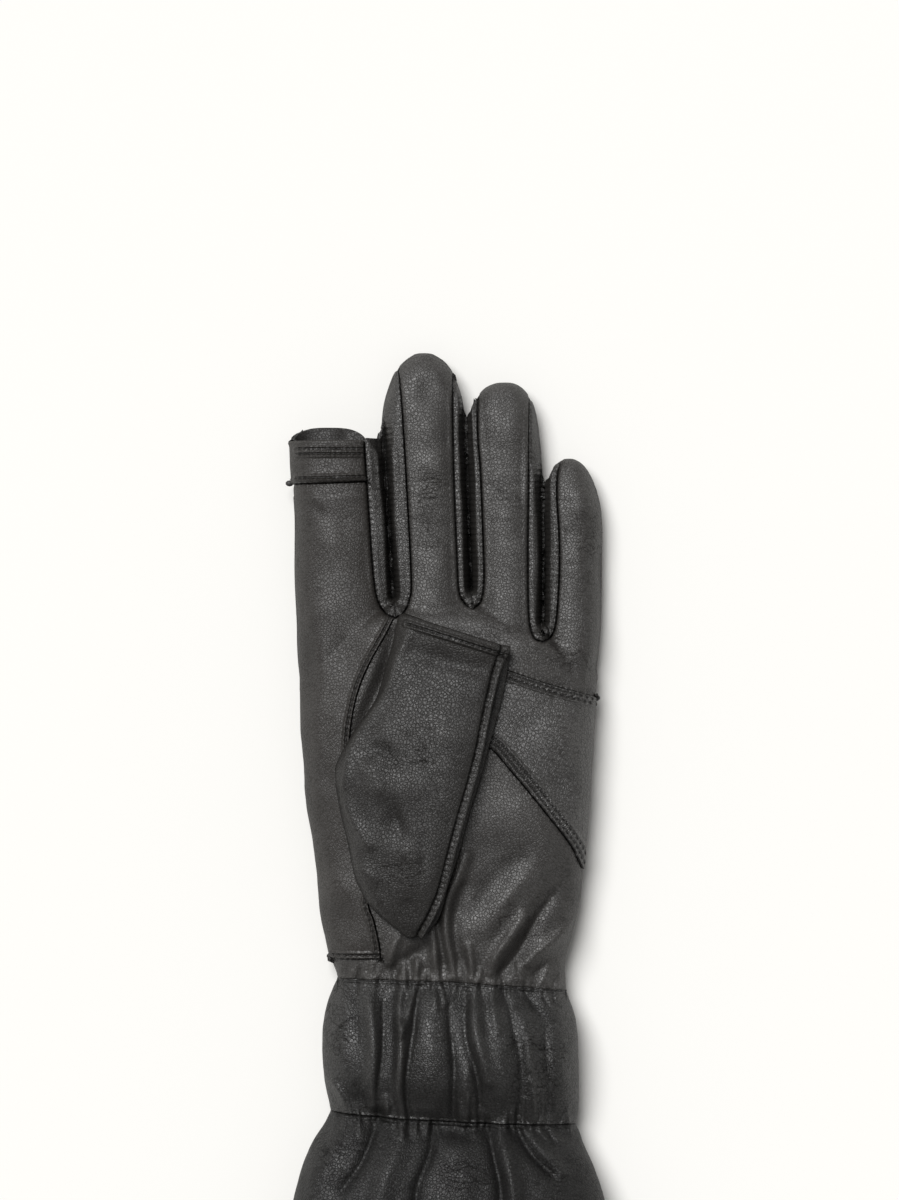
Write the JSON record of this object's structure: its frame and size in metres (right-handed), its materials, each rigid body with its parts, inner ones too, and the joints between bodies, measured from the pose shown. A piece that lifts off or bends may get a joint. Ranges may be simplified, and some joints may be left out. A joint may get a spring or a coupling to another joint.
{
  "type": "gauntlet glove",
  "caption": "Soft black leather left-hand glove, palm up with the thumb folded over, open index and thumb tips, gathered wrist and flared cuff.",
  "frame": {"origin": "middle of the glove's underside, on the surface that it lies on", "axes": "+Y towards the fingertips, +Z out of the palm, +X towards the little finger"},
  "size_m": [0.1184, 0.32, 0.0372],
  "materials": {
    "palm_leather": "soft black leather with a fine pebble grain and a low sheen",
    "index_leather": "soft leather, a little browner than the palm, low sheen",
    "back_leather": "soft black leather, smoother, matt on its inner side"
  },
  "bodies": {
    "root": {"palm_upper": "palm_leather", "palm_patch": "palm_leather", "palm_lower": "palm_leather", "index_front": "index_leather", "index_band": "index_leather", "hand_back": "back_leather", "fourchette_index_middle": "palm_leather", "fourchette_middle_ring": "palm_leather", "fourchette_ring_little": "palm_leather", "thumb": "palm_leather", "wrist_band": "palm_leather", "cuff": "palm_leather"}
  },
  "joints": []
}
